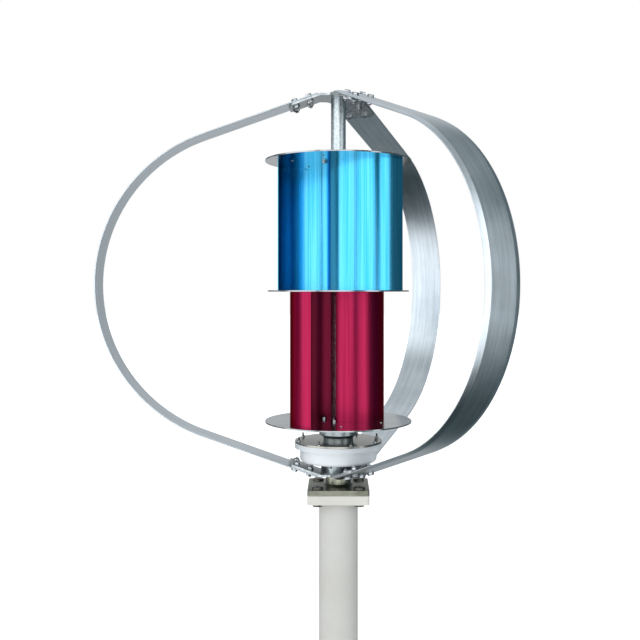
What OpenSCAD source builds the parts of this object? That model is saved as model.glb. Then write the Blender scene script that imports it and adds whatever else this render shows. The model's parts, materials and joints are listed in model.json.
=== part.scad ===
// Small hybrid wind turbine on a pole: three bowed straps and a two-storey drum of half-round
// buckets turn as one rotor on a flat disc generator. The generator's fixed hollow shaft is
// bolted to a flange at the top of the pole. The origin is on the rotor axis at the pole's foot.

/* [Blades] */
// Radius of the rotor, to the outer faces of the bowed blades
rotor_r = 545.5; // [500:0.5:660]
// Slope of the straight blade ends below horizontal
blade_slope = 20; // [16:1:24]
// Width of a blade across its flat
blade_w = 84; // [70:1:104]
// Thickness of a blade at its middle
blade_t = 5; // [3:0.5:8]
// Thickness of a blade at its rounded edges
blade_edge_t = 2.4; // [1.6:0.2:3]
// Width of the full-thickness band of a blade
blade_band_w = 60; // [56:1:66]
// Distance of a blade's cut end from the axis
blade_end_r = 47; // [45:1:52]
// Turn of the first blade about the axis
blade_phase = 62.7; // [0:0.1:120]

/* [Spiders] */
// Thickness of the bent spider plates
spider_t = 5; // [4:0.5:8]
// Width of a spider arm
arm_w = 80; // [72:1:84]
// Distance of the bend line from the axis
bend_r = 42; // [40:1:44]
// Distance of an arm's tip from the axis
arm_end_r = 110; // [108:1:130]
// Radius of an arm's outer corners
arm_corner_r = 8; // [2:1:12]
// Radius of the hollow corners between two arms
web_fillet_r = 14; // [6:1:16]
// Distance of the inner bolts from the axis
bolt_row_in = 66; // [62:1:72]
// Distance of the outer bolts from the axis
bolt_row_out = 98; // [88:1:99]
// Spacing of a pair of bolts across an arm
bolt_pair_w = 40; // [32:1:46]
// Thread size of the blade bolts
blade_bolt_d = 8; // [6:1:8]

/* [Drum] */
// Height of the sheet of one bucket
bucket_h = 293; // [240:1:360]
// Outer radius of a bucket's arc
bucket_r = 89; // [78:0.5:92]
// Distance of a bucket's centre from the axis
bucket_offset = 66; // [56:0.5:68]
// Angle that a bucket's sheet covers
bucket_arc = 169; // [150:1:180]
// Sheet thickness of the buckets
bucket_t = 1.5; // [1:0.25:3]
// Turn of the upper storey about the axis
upper_turn = -16; // [-90:1:90]
// Turn of the lower storey about the axis
lower_turn = 74; // [-90:1:90]
// Radius of the top and bottom discs
disc_r = 167; // [160:1:200]
// Radius of the middle disc
middle_disc_r = 161; // [158:1:190]
// Thickness of the discs
disc_t = 3; // [2:0.5:5]
// Radius of the circle of rivets in the end discs
rivet_circle_r = 106; // [104:1:108]
// Turn of the rivets in the top disc and in the bottom disc
rivet_turns = [12, 33];

/* [Rotor shaft] */
// Outer diameter of the rotor tube
shaft_d = 33.7; // [28:0.1:41]
// Wall of the rotor tube
shaft_wall = 3.2; // [2.5:0.1:4]
// Length of the rotor tube between the top disc and the top spider
shaft_above = 141.5; // [110:0.5:200]

/* [Generator] */
// Outer radius of the housing's wall
housing_r = 87.5; // [86:0.5:90]
// Height of the housing
housing_h = 43; // [43:0.5:60]
// Wall of the housing
housing_wall = 8; // [6:0.5:8]
// Radius of the housing's rim flange
rim_r = 99.5; // [98:0.5:106]
// Height of the housing's rim flange
rim_h = 12; // [8:0.5:16]
// Thickness of the cover plate
cover_t = 4; // [4:0.5:8]
// Radius of the circle of cover studs
stud_circle_r = 93; // [92.5:0.5:94]
// Number of cover studs
stud_count = 8; // [4:1:12]
// Number of magnets on each side
magnet_count = 16; // [12:2:18]
// Number of coils
coil_count = 12; // [9:3:12]
// Gap between the stator and the magnets
air_gap = 1.5; // [1:0.25:2]
// Height of the upper hub between the cover and the bottom disc
upper_hub_h = 42.5; // [42:0.5:60]
// Height of the lower hub between the bottom spider and the housing
lower_hub_h = 25; // [25:0.5:32]

/* [Pole] */
// Outer diameter of the pole
pole_d = 88.9; // [74:0.1:107]
// Wall of the pole
pole_wall = 4; // [3:0.5:6]
// Height of the flange joint above the pole's foot
flange_z = 405; // [200:5:900]
// Side of the square flanges
flange_w = 138; // [136:1:160]
// Corner radius of the square flanges
flange_corner_r = 6; // [3:1:12]
// Thickness of the pole's flange
pole_flange_t = 20; // [14:0.5:26]
// Thickness of the generator's flange
neck_flange_t = 12; // [10:0.5:16]
// Spacing of the flange bolts
flange_bolt_gap = 94; // [92:1:96]
// Diameter of the fixed neck
neck_d = 56.5; // [54:0.5:58]
// Height of the neck above its flange
neck_h = 24; // [20:0.5:60]

/* [Hidden] */
$fn = 96;

// Clearances and fits
slip = 0.05;        // radial clearance of a piece seated in or on another
running = 1;        // gap between a turning face and a fixed one
lip_gap = 0.3;      // gap at the seal's lip
hole_play = 0.25;   // radial play of a bolt in its hole
race_play = 0.05;   // play between a ball and its race
pocket_play = 0.08; // play between a ball and its cage
join = 0.3;         // overlap of two stretches that make one blade
corner_steps = 6;   // flats that round a corner of the bent plates

// Levels above the pole's foot
neck_top_z = flange_z + neck_flange_t + neck_h;
spider_low_z = neck_top_z + running;
hub_low_z = spider_low_z + spider_t;
housing_z = hub_low_z + lower_hub_h;
floor_t = 8;
floor_z = housing_z + floor_t;
cover_z = housing_z + housing_h;
cover_top_z = cover_z + cover_t;
bottom_disc_z = cover_top_z + upper_hub_h;
lower_bucket_z = bottom_disc_z + disc_t;
middle_disc_z = lower_bucket_z + bucket_h;
upper_bucket_z = middle_disc_z + disc_t;
top_disc_z = upper_bucket_z + bucket_h;
top_disc_top_z = top_disc_z + disc_t;
shaft_top_z = top_disc_top_z + shaft_above;
spider_high_z = shaft_top_z + spider_t;

// The blade: a tangent arc between two straight ends that lie on the spiders
mid_z = (spider_low_z + spider_high_z) / 2;
half_h = (spider_high_z - spider_low_z) / 2;
blade_in_r = rotor_r - blade_t;
arc_centre_r = (blade_in_r - bend_r * sin(blade_slope) - half_h * cos(blade_slope))
  / (1 - sin(blade_slope));
arc_r = blade_in_r - arc_centre_r;
arc_half = 90 - blade_slope;
arc_end_r = arc_centre_r + arc_r * cos(arc_half);
strap_start = (blade_end_r - bend_r) / cos(blade_slope);
strap_len = (arc_end_r - blade_end_r) / cos(blade_slope);
bolt_rows = [(bolt_row_in - bend_r) / cos(blade_slope), (bolt_row_out - bend_r) / cos(blade_slope)];

// Standard parts, by thread size
function hex_af(d) = d <= 4 ? 7 : d <= 5 ? 8 : d <= 6 ? 10 : d <= 8 ? 13 : d <= 10 ? 16 : 19;
function hex_r(d) = hex_af(d) / 2 / cos(30);
function head_h(d) = d * 0.66;
function nut_h(d) = d * 0.8;

// Bearings: [bore radius, outer radius, width, pitch radius, ball radius, balls]
lower_bearing = [20, 34, 15, 27, 3.97, 12];
upper_bearing = [15, 27.5, 13, 21.25, 3.57, 11];
ring_lip = 1.6;     // radial height of the race walls past the ball's edge
lower_bearing_z = hub_low_z + 9;
upper_bearing_z = cover_top_z;

// The fixed shaft
shoulder_r = 23;
lower_seat_r = lower_bearing[0];
stator_seat_r = 17.5;
upper_seat_r = upper_bearing[0];
wire_bore_r = 10;
wire_port_r = 4;
circlip_t = 1.5;
clip_z = upper_bearing_z + upper_bearing[2] + slip;
shaft_end_z = clip_z + circlip_t + 2.5;

// The stator and the magnets
magnet_t = 6;
magnet_in_r = 49;
magnet_len = 24;
magnet_w = 14;
upper_magnet_z = cover_z - magnet_t;
stator_t = 12;
stator_z = upper_magnet_z - air_gap - stator_t;
lower_magnet_z = stator_z - air_gap - magnet_t;
stator_r = 77;
stator_in_r = 30;
stator_flange_t = 2.5;
stator_flange_r = 44;
stator_seat_z = stator_z - stator_flange_t;
stator_boss_top_z = stator_z + 10.5;
stator_nut_r = 24.5;
stator_nut_h = 6.5;
stator_screw_r = 38;
stator_screw_d = 4;
nut_slot = 5;
coil_circle_r = 61;
coil_r = 12.5;
coil_hole_r = 5;
yoke_r = 76;
yoke_in_r = 49;

// The hubs
hub_r = 39.5;
hub_bore_r = lower_bearing[1];
seal_seat_r = 30;
seal_h = 7;
hub_flange_r = 48;
hub_flange_t = 4;
hub_screw_r = 43.5;
hub_screw_d = 4;
hub_screw_len = 10;
cover_screw_len = 14;
spider_screw_d = 5;
spider_screw_len = spider_t + 6;
spider_screw_r = 34.75;
hub_clip_z = lower_bearing_z + lower_bearing[2] + slip;
hub_clip_t = 2.5;
hub_clip_depth = 1.25;
set_screw_d = 6;
set_screw_z = housing_z - 9.5;
hub_screw_turn = -115;
upper_hub_r = 43.5;
upper_hub_foot_r = 34;
upper_hub_foot_h = 7;
upper_hub_cone_h = 7;
upper_hub_screw_r = 30.75;
cover_hole_r = 25;
shaft_r = shaft_d / 2;
socket_z = shaft_end_z + 5.5;
web_hole_r = 12;
disc_stud_r = 35;
disc_stud_d = 6;
disc_stud_turn = 70.5;
disc_stud_depth = 14;
disc_stud_end = 9;
disc_bolt_turn = 27.7;
collar_flange_t = 6;
collar_boss_r = 27;
collar_h = 20;
collar_grub_z = 13;
grub_d = 8;
grub_drop = 9;
stud_d = 4;
stud_turn = -72.5;
stud_z = cover_z - rim_h + 2;
stud_end = 10;
rivet_r = 2.4;
rivet_head_r = 3.2;
rivet_head_h = 1.4;
plug_h = 30;
top_bolt_d = 12;
top_washer_r = 12;
top_washer_t = 2.5;

// The pole
pole_r = pole_d / 2;
weld = 5;
pole_seat_depth = 1;
pole_seat_r = pole_r - pole_seat_depth;
pole_seat_z = flange_z - pole_flange_t - weld - 2;
flange_bolt_d = 12;
flange_head_r = 12.5;
flange_head_h = 5;
flange_socket_r = 4.6;
flange_socket_t = 3;
bolt_end = 8;       // length of a flange bolt that shows under the pole's flange

// ---- Small shapes that repeat ----

module ring(outer, inner, h) {
  difference() {
    cylinder(r = outer, h = h);
    translate([0, 0, -1]) cylinder(r = inner, h = h + 2);
  }
}

module around(count, r, turn = 0) {
  for (i = [0:count - 1]) rotate(turn + i * 360 / count) translate([r, 0, 0]) children();
}

module rounded_square(w, r) {
  square([w, w - 2 * r], center = true);
  square([w - 2 * r, w], center = true);
  for (x = [-1, 1], y = [-1, 1]) translate([x * (w / 2 - r), y * (w / 2 - r)]) circle(r);
}

// A hexagon bolt: its head sits on z = 0 and its shank points down
module hex_bolt(d, len, head = 0) {
  cylinder(r = hex_r(d), h = head > 0 ? head : head_h(d), $fn = 6);
  translate([0, 0, -len]) cylinder(d = d, h = len);
}

module hex_nut(d) {
  difference() {
    cylinder(r = hex_r(d), h = nut_h(d), $fn = 6);
    translate([0, 0, -1]) cylinder(r = d / 2 + slip, h = nut_h(d) + 2);
  }
}

// A countersunk screw: its flat head ends at z = 0 and its shank points down
module flush_screw(d, len) {
  rotate_extrude() polygon([[0, -len], [d / 2, -len], [d / 2, -d / 2], [d * 0.95, -0.2],
    [d * 0.95, 0], [0, 0]]);
}

module flush_hole(d, len) {
  grow = slip * 2;
  rotate_extrude() polygon([[0, -len - grow], [d / 2 + grow, -len - grow], [d / 2 + grow, -d / 2],
    [d * 0.95 + grow, -0.2], [d * 0.95 + grow, 1], [0, 1]]);
}

// A grub screw: flat point at z = 0, hexagon socket in its outer end
module grub_screw(d, len) {
  difference() {
    cylinder(d = d, h = len);
    translate([0, 0, len - d / 2]) cylinder(d = d / 2, h = d, $fn = 6);
  }
}

// ---- Frames that pieces share ----

module from_middle() {
  translate([0, 0, mid_z]) children();
}

// Places children on each arm: x outwards along the arm, z out of the plate's outer face
module on_arm(turn) {
  rotate(turn) translate([bend_r, 0, half_h]) rotate([0, blade_slope, 0]) children();
}

// Repeats the children at the top and, mirrored, at the bottom
module both_ends() {
  children();
  mirror([0, 0, 1]) children();
}

module at_blade_bolts() {
  for (x = bolt_rows, y = [-1, 1]) translate([x, y * bolt_pair_w / 2, 0]) children();
}

// ---- Pole and flanges ----

module mast_tube() {
  color("antiquewhite") rotate_extrude() polygon([[pole_r - pole_wall, 0], [pole_r, 0],
    [pole_r, pole_seat_z], [pole_seat_r, pole_seat_z], [pole_seat_r, flange_z - running],
    [pole_r - pole_wall, flange_z - running]]);
}

module flange_bolt_places() {
  for (x = [-1, 1], y = [-1, 1]) translate([x, y, 0] * flange_bolt_gap / 2) children();
}

module mast_flange() {
  color("antiquewhite") difference() {
    union() {
      translate([0, 0, flange_z - pole_flange_t]) linear_extrude(pole_flange_t)
        rounded_square(flange_w, flange_corner_r);
      rotate_extrude() polygon([[pole_seat_r + slip, flange_z - pole_flange_t - weld],
        [pole_r + weld, flange_z - pole_flange_t], [pole_seat_r + slip, flange_z - 1]]);
    }
    translate([0, 0, flange_z - pole_flange_t - weld - 1])
      cylinder(r = pole_seat_r + slip, h = pole_flange_t + weld + 2);
    flange_bolt_places() translate([0, 0, flange_z - pole_flange_t - 1])
      cylinder(r = flange_bolt_d / 2 + slip, h = pole_flange_t + 2);
  }
}

module neck_flange() {
  color("darkseagreen") difference() {
    union() {
      translate([0, 0, flange_z]) linear_extrude(neck_flange_t)
        rounded_square(flange_w, flange_corner_r);
      rotate_extrude() polygon([[neck_d / 2, flange_z], [neck_d / 2 + weld, flange_z],
        [neck_d / 2 + weld, flange_z + neck_flange_t], [neck_d / 2, flange_z + neck_flange_t + weld]]);
    }
    translate([0, 0, flange_z - 1])
      cylinder(r = neck_d / 2 + slip, h = neck_flange_t + weld + 2);
    flange_bolt_places() translate([0, 0, flange_z - 1])
      cylinder(r = flange_bolt_d / 2 + hole_play, h = neck_flange_t + 2);
  }
}

module flange_bolts() {
  seat_z = flange_z + neck_flange_t;
  len = neck_flange_t + pole_flange_t + bolt_end;
  color("rosybrown") flange_bolt_places() translate([0, 0, seat_z]) {
    difference() {
      rotate_extrude() polygon([[0, 0], [flange_head_r, 0], [flange_head_r, flange_head_h - 1.5],
        [flange_head_r - 2.5, flange_head_h], [0, flange_head_h]]);
      translate([0, 0, flange_head_h - flange_socket_t])
        cylinder(r = flange_socket_r, h = flange_socket_t + 1, $fn = 6);
    }
    translate([0, 0, -len]) cylinder(d = flange_bolt_d, h = len);
  }
}

// ---- Fixed shaft and stator ----

module stator_shaft() {
  color("darkgray") difference() {
    rotate_extrude() polygon([[wire_bore_r, flange_z], [neck_d / 2, flange_z],
      [neck_d / 2, neck_top_z], [shoulder_r, neck_top_z], [shoulder_r, lower_bearing_z],
      [lower_seat_r, lower_bearing_z], [lower_seat_r, stator_seat_z],
      [stator_seat_r, stator_seat_z], [stator_seat_r, upper_bearing_z],
      [upper_seat_r, upper_bearing_z], [upper_seat_r, clip_z], [upper_seat_r - 1, clip_z],
      [upper_seat_r - 1, clip_z + circlip_t + slip], [upper_seat_r, clip_z + circlip_t + slip],
      [upper_seat_r, shaft_end_z], [wire_bore_r, shaft_end_z]]);
    translate([0, 0, stator_seat_z - wire_port_r - 1.5]) rotate([0, 90, 0])
      cylinder(r = wire_port_r, h = lower_seat_r + 2);
  }
}

module stator_hub() {
  color("silver") difference() {
    union() {
      translate([0, 0, stator_seat_z]) cylinder(r = stator_flange_r, h = stator_flange_t);
      translate([0, 0, stator_seat_z])
        cylinder(r = stator_in_r - slip, h = stator_boss_top_z - stator_seat_z);
    }
    translate([0, 0, stator_seat_z - 1])
      cylinder(r = stator_seat_r + slip, h = stator_boss_top_z - stator_seat_z + 2);
    around(6, stator_screw_r) translate([0, 0, stator_seat_z - 1])
      cylinder(r = stator_screw_d / 2 + slip, h = stator_flange_t + 2);
  }
}

module stator_ring() {
  color("saddlebrown") translate([0, 0, stator_z]) difference() {
    ring(stator_r, stator_in_r, stator_t);
    around(coil_count, coil_circle_r) translate([0, 0, -1])
      cylinder(r = coil_r + slip, h = stator_t + 2);
    around(6, stator_screw_r) translate([0, 0, -1])
      cylinder(r = stator_screw_d / 2 + slip, h = stator_t + 2);
  }
}

module stator_coils() {
  color("chocolate") around(coil_count, coil_circle_r) translate([0, 0, stator_z])
    ring(coil_r, coil_hole_r, stator_t);
}

module stator_screws() {
  color("silver") around(6, stator_screw_r) translate([0, 0, stator_z + stator_t]) {
    cylinder(r = 0.95 * stator_screw_d, h = 0.65 * stator_screw_d);
    translate([0, 0, -stator_t - stator_flange_t])
      cylinder(d = stator_screw_d, h = stator_t + stator_flange_t);
  }
}

module stator_nut() {
  color("dimgray") translate([0, 0, stator_boss_top_z]) difference() {
    cylinder(r = stator_nut_r, h = stator_nut_h);
    translate([0, 0, -1]) cylinder(r = stator_seat_r + slip, h = stator_nut_h + 2);
    around(4, stator_nut_r) translate([0, 0, stator_nut_h / 2])
      cube([nut_slot, nut_slot, stator_nut_h + 2], center = true);
  }
}

module shaft_circlip() {
  color("dimgray") translate([0, 0, clip_z + slip / 2]) difference() {
    ring(upper_seat_r + 2.6, upper_seat_r - 1 + slip, circlip_t);
    rotate(30) translate([upper_seat_r, 0, 0]) cube([8, 5, 10], center = true);
  }
}

// ---- Bearings ----

module inner_ring(b, z) {
  lip_r = b[3] - b[4] + ring_lip;
  color("gainsboro") translate([0, 0, z]) rotate_extrude() difference() {
    translate([b[0] + slip, 0]) square([lip_r - b[0] - slip, b[2]]);
    translate([b[3], b[2] / 2]) circle(b[4] + race_play);
  }
}

module outer_ring(b, z) {
  lip_r = b[3] + b[4] - ring_lip;
  color("gainsboro") translate([0, 0, z]) rotate_extrude() difference() {
    translate([lip_r, 0]) square([b[1] - slip - lip_r, b[2]]);
    translate([b[3], b[2] / 2]) circle(b[4] + race_play);
  }
}

module balls(b, z) {
  color("white") around(b[5], b[3]) translate([0, 0, z + b[2] / 2]) sphere(b[4]);
}

module cage(b, z) {
  cage_h = 2 * b[4] + 2.4;
  color("goldenrod") translate([0, 0, z + b[2] / 2]) difference() {
    translate([0, 0, -cage_h / 2]) ring(b[3] + 1, b[3] - 1, cage_h);
    around(b[5], b[3]) rotate([0, 90, 0])
      cylinder(r = b[4] + pocket_play, h = 6, center = true);
  }
}

module lower_bearing_inner() { inner_ring(lower_bearing, lower_bearing_z); }
module lower_bearing_outer() { outer_ring(lower_bearing, lower_bearing_z); }
module lower_bearing_balls() { balls(lower_bearing, lower_bearing_z); }
module lower_bearing_cage() { cage(lower_bearing, lower_bearing_z); }
module upper_bearing_inner() { inner_ring(upper_bearing, upper_bearing_z); }
module upper_bearing_outer() { outer_ring(upper_bearing, upper_bearing_z); }
module upper_bearing_balls() { balls(upper_bearing, upper_bearing_z); }
module upper_bearing_cage() { cage(upper_bearing, upper_bearing_z); }

// ---- Lower hub and generator ----

module lower_hub() {
  color("lightslategray") difference() {
    rotate_extrude() polygon([[seal_seat_r, hub_low_z], [hub_r, hub_low_z], [hub_r, floor_z],
      [hub_flange_r, floor_z], [hub_flange_r, floor_z + hub_flange_t],
      [hub_bore_r, floor_z + hub_flange_t], [hub_bore_r, hub_clip_z + hub_clip_t + slip],
      [hub_bore_r + hub_clip_depth, hub_clip_z + hub_clip_t + slip],
      [hub_bore_r + hub_clip_depth, hub_clip_z], [hub_bore_r, hub_clip_z],
      [hub_bore_r, lower_bearing_z], [seal_seat_r, lower_bearing_z]]);
    around(3, spider_screw_r, blade_phase + 60) translate([0, 0, hub_low_z - 1])
      cylinder(r = spider_screw_d / 2 + slip, h = spider_screw_len - spider_t + 2.5);
    around(6, hub_screw_r) translate([0, 0, floor_z + hub_flange_t]) flush_hole(hub_screw_d, hub_screw_len);
    translate([0, 0, set_screw_z]) rotate([0, 90, hub_screw_turn]) translate([0, 0, hub_bore_r - 1])
      cylinder(d = set_screw_d + 2 * slip, h = 10);
  }
}

module hub_set_screw() {
  color("dimgray") translate([0, 0, set_screw_z]) rotate([0, 90, hub_screw_turn])
    translate([0, 0, hub_bore_r + slip]) grub_screw(set_screw_d, hub_r - hub_bore_r - 1);
}

module shaft_seal() {
  color("black") translate([0, 0, hub_low_z + slip]) rotate_extrude()
    polygon([[shoulder_r + 2, 0], [seal_seat_r - slip, 0], [seal_seat_r - slip, seal_h],
      [shoulder_r + 2, seal_h], [shoulder_r + lip_gap, seal_h - 2], [shoulder_r + lip_gap, seal_h - 3]]);
}

module hub_circlip() {
  color("dimgray") translate([0, 0, hub_clip_z + slip / 2]) difference() {
    ring(hub_bore_r + hub_clip_depth - slip, hub_bore_r - 3, hub_clip_t);
    rotate(200) translate([hub_bore_r, 0, 0]) cube([10, 8, 10], center = true);
  }
}

module hub_flange_screws() {
  color("silver") around(6, hub_screw_r) translate([0, 0, floor_z + hub_flange_t])
    flush_screw(hub_screw_d, hub_screw_len);
}

module spider_hub_screws() {
  color("silver") around(3, spider_screw_r, blade_phase + 60) translate([0, 0, spider_low_z])
    mirror([0, 0, 1]) flush_screw(spider_screw_d, spider_screw_len);
}

module generator_housing() {
  edge_r = floor_t;
  color("ghostwhite") difference() {
    rotate_extrude() difference() {
      union() {
        translate([0, floor_z]) square([housing_r, housing_h - floor_t]);
        translate([0, housing_z]) square([housing_r - edge_r, floor_t + 1]);
        translate([housing_r - edge_r, floor_z]) circle(edge_r);
        translate([0, cover_z - rim_h]) square([rim_r, rim_h - 1]);
        translate([0, cover_z - rim_h]) square([rim_r - 1, rim_h]);
        translate([rim_r - 1, cover_z - 1]) circle(1);
      }
      translate([-1, floor_z]) square([housing_r - housing_wall + 1, housing_h]);
      translate([-1, housing_z - 1]) square([hub_r + slip + 1, floor_t + 2]);
    }
    around(stud_count, stud_circle_r, stud_turn) translate([0, 0, stud_z])
      cylinder(r = stud_d / 2 + slip, h = rim_h);
    around(6, hub_screw_r) translate([0, 0, floor_z + hub_flange_t]) flush_hole(hub_screw_d, hub_screw_len);
  }
}

module magnet_yoke() {
  color("slategray") translate([0, 0, floor_z]) ring(yoke_r, yoke_in_r, lower_magnet_z - floor_z);
}

module magnets(z) {
  color("lightsteelblue") around(magnet_count, magnet_in_r + magnet_len / 2)
    translate([0, 0, z + magnet_t / 2]) cube([magnet_len, magnet_w, magnet_t], center = true);
}

module lower_magnets() { magnets(lower_magnet_z); }
module upper_magnets() { magnets(upper_magnet_z); }

module generator_cover() {
  color("darkkhaki") difference() {
    translate([0, 0, cover_z]) ring(rim_r - 0.5, cover_hole_r, cover_t);
    around(stud_count, stud_circle_r, stud_turn) translate([0, 0, cover_z - 1])
      cylinder(r = stud_d / 2 + hole_play, h = cover_t + 2);
    around(6, upper_hub_screw_r) translate([0, 0, cover_z]) mirror([0, 0, 1])
      flush_hole(hub_screw_d, cover_screw_len);
  }
}

module cover_studs() {
  color("silver") around(stud_count, stud_circle_r, stud_turn) translate([0, 0, stud_z])
    cylinder(d = stud_d, h = cover_top_z + stud_end - stud_z);
}

module cover_nuts() {
  color("silver") around(stud_count, stud_circle_r, stud_turn) translate([0, 0, cover_top_z])
    hex_nut(stud_d);
}

module cover_hub_screws() {
  color("silver") around(6, upper_hub_screw_r) translate([0, 0, cover_z]) mirror([0, 0, 1])
    flush_screw(hub_screw_d, cover_screw_len);
}

// ---- Upper hub, discs and buckets ----

module upper_hub() {
  bearing_top = upper_bearing_z + upper_bearing[2];
  foot_top = cover_top_z + upper_hub_foot_h;
  color("lightslategray") difference() {
    rotate_extrude() polygon([[upper_bearing[1], cover_top_z], [upper_hub_foot_r, cover_top_z],
      [upper_hub_foot_r, foot_top], [upper_hub_r, foot_top + upper_hub_cone_h],
      [upper_hub_r, bottom_disc_z], [shaft_r + slip, bottom_disc_z], [shaft_r + slip, socket_z],
      [web_hole_r, socket_z], [web_hole_r, socket_z - 3.5], [upper_bearing[1] - 3.5, socket_z - 3.5],
      [upper_bearing[1] - 3.5, bearing_top], [upper_bearing[1], bearing_top]]);
    around(6, upper_hub_screw_r) translate([0, 0, cover_z]) mirror([0, 0, 1])
      flush_hole(hub_screw_d, cover_screw_len);
    around(4, disc_stud_r, disc_stud_turn) translate([0, 0, bottom_disc_z - disc_stud_depth])
      cylinder(r = disc_stud_d / 2 + slip, h = disc_stud_depth + 1);
    for (a = [0, 90]) rotate(disc_stud_turn + 45 + a) translate([0, 0, bottom_disc_z - grub_drop])
      rotate([0, 90, 0]) cylinder(d = grub_d + 2 * slip, h = upper_hub_r + 5);
  }
}

module upper_hub_set_screws() {
  color("dimgray") for (a = [0, 90]) rotate(disc_stud_turn + 45 + a)
    translate([0, 0, bottom_disc_z - grub_drop]) rotate([0, 90, 0]) translate([0, 0, shaft_r + slip])
    grub_screw(grub_d, 2 * grub_d);
}

module disc(r, z, turn, rivets) {
  color("lightgray") translate([0, 0, z]) difference() {
    cylinder(r = r, h = disc_t);
    translate([0, 0, -1]) cylinder(r = shaft_r + 2 * slip, h = disc_t + 2);
    if (rivets != undef) {
      around(4, disc_stud_r, turn) translate([0, 0, -1])
        cylinder(r = disc_stud_d / 2 + hole_play, h = disc_t + 2);
      around(6, rivet_circle_r, rivets) translate([0, 0, -1])
        cylinder(r = rivet_r + slip, h = disc_t + 2);
    }
  }
}

module bottom_disc() { disc(disc_r, bottom_disc_z, disc_stud_turn, rivet_turns[1]); }
module middle_disc() { disc(middle_disc_r, middle_disc_z); }
module top_disc() { disc(disc_r, top_disc_z, disc_bolt_turn, rivet_turns[0]); }

module bottom_disc_studs() {
  color("silver") around(4, disc_stud_r, disc_stud_turn) translate([0, 0, bottom_disc_z - disc_stud_depth])
    cylinder(d = disc_stud_d, h = disc_stud_depth + disc_t + disc_stud_end);
}

module bottom_disc_nuts() {
  color("silver") around(4, disc_stud_r, disc_stud_turn) translate([0, 0, lower_bucket_z])
    hex_nut(disc_stud_d);
}

// A bucket's sheet in its storey's own frame: side is 1 for the near one and -1 for the far one
module bucket(z, turn, side) {
  translate([0, 0, z]) rotate(turn + (side > 0 ? 0 : 180)) translate([bucket_offset, 0, 0])
    rotate(-180) rotate_extrude(angle = bucket_arc) translate([bucket_r - bucket_t, 0])
    square([bucket_t, bucket_h]);
}

module upper_bucket_a() { color("deepskyblue") bucket(upper_bucket_z, upper_turn, 1); }
module upper_bucket_b() { color("deepskyblue") bucket(upper_bucket_z, upper_turn, -1); }
module lower_bucket_a() { color("crimson") bucket(lower_bucket_z, lower_turn, 1); }
module lower_bucket_b() { color("crimson") bucket(lower_bucket_z, lower_turn, -1); }

module rivet() {
  translate([0, 0, disc_t]) cylinder(r1 = rivet_head_r, r2 = rivet_head_r - 1, h = rivet_head_h);
  cylinder(r = rivet_r, h = disc_t);
  translate([0, 0, -rivet_head_h]) cylinder(r1 = rivet_head_r - 1, r2 = rivet_head_r, h = rivet_head_h);
}

module disc_rivets() {
  color("white") {
    around(6, rivet_circle_r, rivet_turns[1]) translate([0, 0, bottom_disc_z]) rivet();
    around(6, rivet_circle_r, rivet_turns[0]) translate([0, 0, top_disc_z]) rivet();
  }
}

module top_collar() {
  color("lightslategray") difference() {
    translate([0, 0, top_disc_top_z]) union() {
      cylinder(r = upper_hub_r, h = collar_flange_t);
      cylinder(r = collar_boss_r, h = collar_h);
    }
    translate([0, 0, top_disc_top_z - 1]) cylinder(r = shaft_r + slip, h = collar_h + 2);
    around(4, disc_stud_r, disc_bolt_turn) translate([0, 0, top_disc_top_z - 1])
      cylinder(r = disc_stud_d / 2 + slip, h = collar_flange_t + 2);
    for (a = [0, 90]) rotate(a) translate([0, 0, top_disc_top_z + collar_grub_z])
      rotate([0, 90, 0]) cylinder(d = grub_d + 2 * slip, h = collar_boss_r + 5);
  }
}

module top_collar_set_screws() {
  color("dimgray") for (a = [0, 90]) rotate(a) translate([0, 0, top_disc_top_z + collar_grub_z])
    rotate([0, 90, 0]) translate([0, 0, shaft_r + slip])
    grub_screw(grub_d, collar_boss_r - shaft_r - 1);
}

module top_disc_bolts() {
  color("silver") around(4, disc_stud_r, disc_bolt_turn) translate([0, 0, top_disc_z])
    mirror([0, 0, 1]) hex_bolt(disc_stud_d, disc_t + collar_flange_t);
}

// ---- Rotor shaft ----

module rotor_shaft() {
  color("gainsboro") translate([0, 0, socket_z])
    ring(shaft_r, shaft_r - shaft_wall, shaft_top_z - socket_z);
}

module shaft_plug() {
  color("dimgray") translate([0, 0, shaft_top_z - plug_h]) difference() {
    cylinder(r = shaft_r - shaft_wall - slip, h = plug_h);
    translate([0, 0, 4]) cylinder(r = top_bolt_d / 2 + slip, h = plug_h);
  }
}

module shaft_top_bolt() {
  color("silver") translate([0, 0, spider_high_z]) {
    ring(top_washer_r, top_bolt_d / 2 + hole_play, top_washer_t);
    translate([0, 0, top_washer_t]) hex_bolt(top_bolt_d, top_washer_t + spider_t + plug_h - 8);
  }
}

// ---- Spiders and blades, drawn for the top and mirrored for the bottom ----

// Corner points of an arc about (x, y), stepped so that its faces stay flat
function arc_points(x, y, r, from, to, steps) =
  [for (k = [0:steps]) let (t = from + (to - from) * k / steps) [x + r * cos(t), y + r * sin(t)]];

function turned(points, turn) =
  [for (q = points) [q[0] * cos(turn) - q[1] * sin(turn), q[0] * sin(turn) + q[1] * cos(turn)]];

// Plan of a spider: three arms with rounded tips and hollow corners between them
module spider_plan() {
  between = 60;
  fillet_at = (arm_w / 2 + web_fillet_r) / sin(between);
  tip_x = arm_end_r - arm_corner_r;
  tip_y = arm_w / 2 - arm_corner_r;
  third = concat(
    arc_points(tip_x, -tip_y, arm_corner_r, -90, 0, corner_steps),
    arc_points(tip_x, tip_y, arm_corner_r, 0, 90, corner_steps),
    arc_points(fillet_at * cos(between), fillet_at * sin(between), web_fillet_r,
      270, 210, corner_steps));
  polygon([for (i = [0:2]) each turned(third, i * 120)]);
}

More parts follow.
